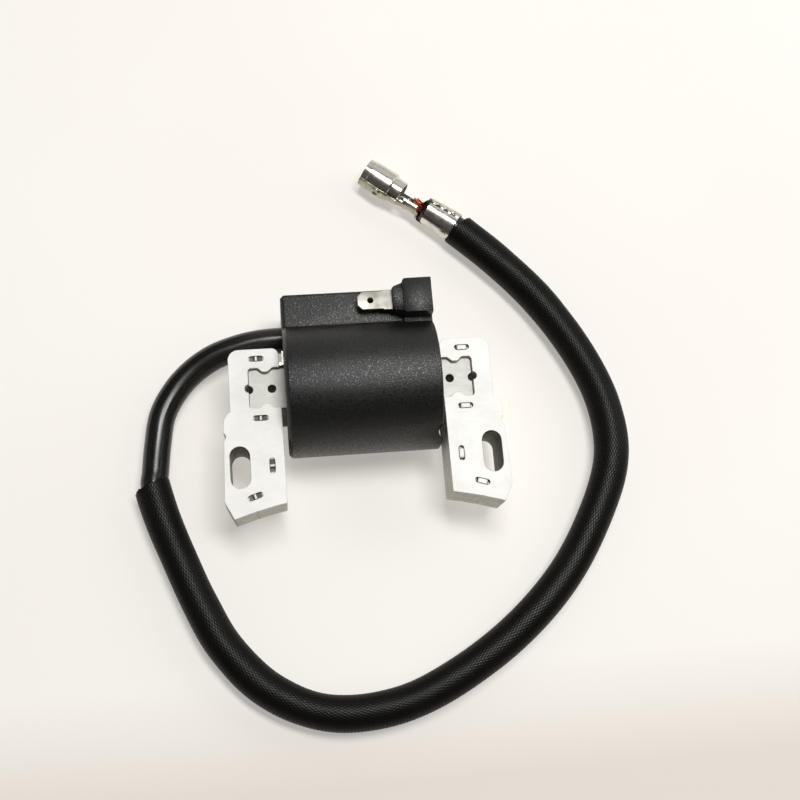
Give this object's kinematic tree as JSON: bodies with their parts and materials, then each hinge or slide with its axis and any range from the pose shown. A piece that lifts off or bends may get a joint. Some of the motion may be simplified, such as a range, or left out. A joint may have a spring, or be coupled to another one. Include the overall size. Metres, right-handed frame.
{
  "type": "ignition coil",
  "caption": "Armature ignition coil for a small engine: laminated U-shaped core with slotted legs, potted housing with a kill blade, and a sleeved lead ending in a plug clip.",
  "frame": {"origin": "on the flat back of the housing, at the middle of the coil without its lead, in X and in Y", "axes": "+X along the core bar, from the lead's side to the kill terminal's side; +Y away from the flywheel; +Z normal to the legs, the way the mounting screws come out"},
  "size_m": [0.1305, 0.1542, 0.0313],
  "materials": {
    "lamination_steel": "satin punched electrical steel",
    "bar_steel": "dull satin punched electrical steel",
    "case_plastic": "fine spark-eroded texture",
    "potting_resin": "cast resin surface",
    "bobbin_plastic": "moulded glass-filled plastic",
    "enamelled_copper": "enamelled copper wire",
    "insulating_tape": "polyester tape",
    "secondary_bobbin_plastic": "moulded natural plastic",
    "board_laminate": "solder mask over glass laminate",
    "epoxy_package": "moulded epoxy",
    "resistor_body": "lacquered body",
    "capacitor_body": "dipped body",
    "tinned_blade": "tin plated brass",
    "spring_steel": "plated spring steel",
    "contact_brass": "turned brass",
    "lead_rubber": "smooth satin synthetic rubber",
    "copper_strand": "bare stranded copper",
    "braid_fibre": "varnished black glass-fibre braid",
    "nickel_plate": "bright nickel plate"
  },
  "bodies": {
    "root": {"left_leg": "lamination_steel", "right_leg": "lamination_steel", "core_bar": "bar_steel", "housing": "case_plastic", "potting": "potting_resin", "primary_bobbin": "bobbin_plastic", "primary_winding": "enamelled_copper", "primary_wrap": "insulating_tape", "secondary_bobbin": "secondary_bobbin_plastic", "secondary_winding": "enamelled_copper", "primary_leads": "enamelled_copper", "circuit_board": "board_laminate", "power_transistor": "epoxy_package", "control_chip": "epoxy_package", "bias_resistors": "resistor_body", "capacitor": "capacitor_body", "kill_terminal": "tinned_blade", "ground_spring": "spring_steel", "hv_contact": "contact_brass", "hv_output_wire": "enamelled_copper", "hv_lead": "lead_rubber", "lead_conductor": "copper_strand", "braided_sleeve": "braid_fibre", "plug_terminal": "nickel_plate", "detent_spring": "spring_steel"}
  },
  "joints": []
}
